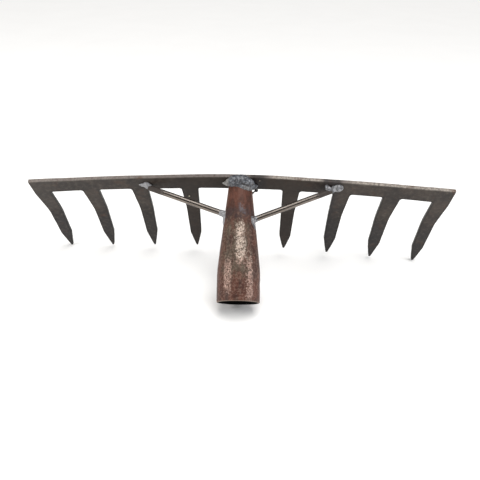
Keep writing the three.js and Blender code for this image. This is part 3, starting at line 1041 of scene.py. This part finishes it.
def roughen(run, amount, scale):
    """Small uneven swellings, and a fine grain of slag."""
    def rule(co):
        low = noise.noise(co * scale)
        fine = noise.noise(co * scale * 3.1 + Vector((5, 5, 5)))
        return co + Vector((low, noise.noise(co * scale + Vector((9, 2, 4))), fine)) * amount
    move_points(run, rule)


LEFT_RUN = [
    (-14.4, -5.8, 0.3, 1.0), (-12.4, -5.6, 0.7, 1.8), (-10.8, -4.8, 1.1, 2.6), (-8.4, -2.4, 2, 4.0),
    (-4.4, 0, 2.6, 5.2), (0, 1.2, 2.8, 5.2), (3, 1.2, 2.6, 5),
]
RIGHT_RUN = [
    (2, 1.2, 2.6, 5), (5, 0, 2.8, 4.6), (8, -2.8, 3.2, 4.2),
    (9.3, -6.2, 2.8, 3.7), (11.4, -8.4, 1.4, 3), (13.2, -8.8, 0.6, 1.8),
]
side_turn = Vector((0, 0, 1)).rotation_difference(socket_axis).to_matrix()


def on_socket(turn_degrees, at, out):
    """A bench point on the socket: round it from the top, along it from the plate, off its skin."""
    turn = math.radians(turn_degrees)
    radius = SOCKET_ROOT_RADIUS + TAPER * at + out
    return socket_start + side_turn @ Vector((
        radius * math.sin(turn), radius * math.cos(turn), at))


def skin_path(stations):
    """Thin puddles on the socket's skin, from (turn, at, radius) stations."""
    return [(*on_socket(turn, at, -0.5 * radius), radius) for turn, at, radius in stations]


left_puddles = dense(LEFT_RUN, 1.1)
left_puddles += dense(skin_path([(-48, 2.6, 1.9), (-20, 3.1, 2.2), (5, 4.3, 2.4)]), 1.2)
left_run = lay_run("weld_socket_left_look", left_puddles, height=0.9, smooth=12)
right_puddles = dense(RIGHT_RUN, 1.7)
right_puddles += dense(skin_path([
    (8, 4.4, 2.6), (24, 5.5, 2.9), (40, 5.5, 2.8), (56, 4.8, 2.6), (72, 4.0, 2.3)]), 1.5)
right_puddles += dense(skin_path([(40, 3.2, 3.0), (56, 3.0, 3.0), (74, 2.8, 2.6)]), 1.5)
right_run = lay_run("weld_socket_right_look", right_puddles, height=0.9, smooth=6)
under_path = [(x, -18.4 + 0.05 * x * x, 1, 2.9) for x in (-5, -2.5, 0, 2.5, 5)]
under_run = lay_run("weld_socket_under_look", dense(under_path))
print("the left run has", len(left_run.data.polygons), "faces")

# %% [markdown]
# Each brace has a run over its foot and one round its head, where the metal also ran down the
# socket's flank. The puddles on the feet reach deep, so what would show behind the plate is cut
# off level.

# %% The runs at the braces' ends
BEHIND = -0.9
COLLAR_STEP = 1.2
HEAD_SUNK = 0.6
LEFT_FOOT_RUN = [
    (-86.4, -10.9, 0.2, 0.9), (-84.4, -10.7, 0.5, 1.7), (-81.6, -9.9, 0.9, 2.4),
    (-79.0, -10.6, 2.0, 2.9), (-77.8, -11.2, 2.2, 2.6),
]
LEFT_FOOT_CREST = [(-80.8, -8.0, 0.7, 1.5), (-79.4, -8.4, 1.3, 1.6)]
RIGHT_FOOT_RUN = [
    (73.2, -6.6, 0.9, 1.7), (75.0, -8.2, 2.8, 2.9), (76.6, -9.6, 3.2, 3.2), (78.6, -9.2, 2.2, 3.0),
]
RIGHT_FOOT_TAIL = [(76.4, -13.0, 1.4, 2.2), (74.6, -14.4, 0.8, 1.6)]
RIGHT_FOOT_PAD = [(80.4, -8.4, 0.9, 3.2), (83.0, -8.4, 0.7, 4.0), (84.6, -8.5, 0.5, 3.2)]


def collar(brace, radii):
    """Puddles round a brace's head, from the socket back along the bar."""
    foot, touch, direction = brace_line(brace)
    return [(*(touch - direction * (COLLAR_STEP * step - HEAD_SUNK)), radius)
            for step, radius in enumerate(radii)]


left_foot = dense(LEFT_FOOT_RUN, 1.4) + dense(LEFT_FOOT_CREST, 1.4)
left_plate_run = lay_run("weld_brace_left_plate_look", left_foot, height=0.85, smooth=3)
right_foot = dense(RIGHT_FOOT_RUN, 1.5)
right_foot += dense(RIGHT_FOOT_TAIL, 1.4) + dense(RIGHT_FOOT_PAD, 1.4)
right_plate_run = lay_run("weld_brace_right_plate_look", right_foot, height=0.8, smooth=3)
left_flank = [(-84, 26, 3.0), (-80, 29, 3.0), (-78, 32, 2.4), (-78, 35, 1.8)]
left_head = collar(BRACES["left"], (3.1, 3.0, 2.9, 2.8, 2.6, 2.2))
left_head += dense(skin_path(left_flank), 1.3)
left_socket_run = lay_run("weld_brace_left_socket_look", left_head, smooth=6)
right_flank = [(72, 31, 2.5), (57, 31.5, 2.7), (56, 34, 2.7), (62, 37, 2.1), (70, 40, 1.3)]
right_head = collar(BRACES["right"], (2.9, 2.7, 2.5, 2.2))
right_head += dense(skin_path(right_flank), 1.3)
right_socket_run = lay_run("weld_brace_right_socket_look", right_head, smooth=6)
socket_runs = [left_run, right_run, under_run]
brace_runs = [left_plate_run, left_socket_run, right_plate_run, right_socket_run]
for run in socket_runs:
    roughen(run, amount=0.12, scale=0.5)
for run in brace_runs:
    roughen(run, amount=0.20, scale=0.7)
for run in (left_plate_run, right_plate_run):
    cut(run, (0, 0, BEHIND), (0, 0, 1), clear_inner=True, use_fill=True)
print(len(socket_runs) + len(brace_runs), "runs laid")

# %% [markdown]
# Weld metal is bright but stained: a bluish skin on the smooth puddles, brown slag in the
# creases, and fine rings across the run.

# %% Finish of the welds
def weld_finish(name, dark, light, pale, slag_share, metallic):
    """Weld metal from dark to light, paler on a run's wing and lip."""
    weld = Finish(name)
    laid = weld.noted("laid")
    cloud = weld.noise(laid, 0.36, 6.0, 0.7, 0.5)
    base = weld.mix(weld.between(cloud, 0.42, 0.58), dark, light)
    along = weld.part(laid, "X")
    wing = weld.between(along, -8.5, -11.5)
    lip = weld.times(weld.between(weld.part(laid, "Z"), 6.0, 8.5), weld.between(along, 0.0, 5.0))
    base = weld.mix(weld.math("MAXIMUM", wing, weld.times(lip, 0.45)), base, pale)
    browned = weld.between(cloud, 0.50, 0.40, 0.0, 0.6)
    base = weld.over(base, lip, browned, (70, 56, 50))
    rings = weld.add("TexWave", "Fac", {
        "Vector": laid, "Scale": 0.16, "Distortion": 5.0, "Detail": 2.0, "Detail Scale": 0.5,
    }, bands_direction="DIAGONAL")
    creases = weld.times(weld.between(rings, 0.45, 0.1), weld.between(along, -1.0, 4.0))
    base = weld.over(base, creases, 0.6, (44, 40, 40))
    slag = weld.between(weld.noise(laid, 0.42, 6.0, 0.72), 0.50, 0.64)
    base = weld.over(base, slag, slag_share, (50, 40, 36))
    gloss = weld.between(weld.noise(laid, 0.9, 5.0, 0.7), 0.3, 0.7, 0.32, 0.54)
    relief = weld.bump(weld.noise(laid, 0.8, 5.0, 0.65), 0.5, 0.14)
    return weld.skin_with(Base_Color=base, Metallic=metallic, Roughness=gloss, Normal=relief)


stained = weld_finish("weld_metal", tone(54, 57, 63), tone(116, 119, 124),
                      tone(132, 130, 127), 0.75, 0.2)
silvery = weld_finish("bright_weld_metal", tone(100, 102, 107), tone(154, 155, 158),
                      tone(134, 134, 136), 0.45, 0.25)
for run in socket_runs + brace_runs:
    run.data.materials.append(stained if run in socket_runs else silvery)
    carry_to_frame(run)

# %% [markdown]
# ## Spatter
# Three drops flew off the arc and stuck: one hangs from the socket on a thin neck, and two sit
# on the plate as flattened beads.

# %% Spatter
DROP_STARTS = 7
DROP_REACH = Vector((3.2, 3, -0.7))
DROP_RADII = {0: 1.0, 0.12: 0.8, 0.25: 0.65, 0.4: 0.6, 0.55: 0.6, 0.7: 0.7, 0.85: 1.1, 1: 1.55}


def bead(name, along, down, radius):
    place = on_plate(along, down, 0.12)
    bpy.ops.object.select_all(action="DESELECT")
    bpy.ops.mesh.primitive_uv_sphere_add(segments=24, ring_count=14, radius=radius, location=place)
    drop = written_in(name, (1.08, 1.0, 0.85))
    note(drop, "laid", lambda co: co)
    roughen(drop, amount=0.05, scale=0.9)
    return drop


def drop_on_neck(name):
    """Small balls from the socket's flank out to the drop, melted like a run."""
    root = socket_start + socket_axis * DROP_STARTS
    root.x += SOCKET_ROOT_RADIUS + TAPER * DROP_STARTS
    end = root + DROP_REACH
    balls = [ball(root.lerp(end, share), radius) for share, radius in DROP_RADII.items()]
    return melted(joined(balls, name), FINE_VOXEL, smooth=4)


drops = [
    drop_on_neck("spatter_drop_look"),
    bead("spatter_bead_tooth_look", -45, 24.8, 0.75),
    bead("spatter_bead_bar_look", 16.2, 2, 0.65),
]
print(len(drops), "drops made")

# %% [markdown]
# A drop cools in the air and burns black. The bead on the tooth kept its bright skin, and the
# one on the bar has dulled. All three share one graph with different colours.

# %% Finish of the spatter
def spatter_finish(name, dark, light, metallic):
    spatter = Finish(name)
    laid = spatter.noted("laid")
    skin = spatter.mix(spatter.between(spatter.noise(laid, 1.2, 4.0), 0.4, 0.62), dark, light)
    relief = spatter.bump(spatter.noise(laid, 2.2, 4.0), 0.3, 0.06)
    return spatter.skin_with(Base_Color=skin, Metallic=metallic, Roughness=0.36, Normal=relief)


darkened = spatter_finish("burnt_spatter", tone(18, 16, 15), tone(40, 36, 34), 0.2)
bright = spatter_finish("bright_spatter", tone(190, 184, 160), tone(226, 222, 200), 0.3)
dull = spatter_finish("dull_spatter", tone(78, 68, 56), tone(122, 112, 98), 0.3)
for drop, finish in zip(drops, (darkened, bright, dull)):
    drop.data.materials.append(finish)
    carry_to_frame(drop)
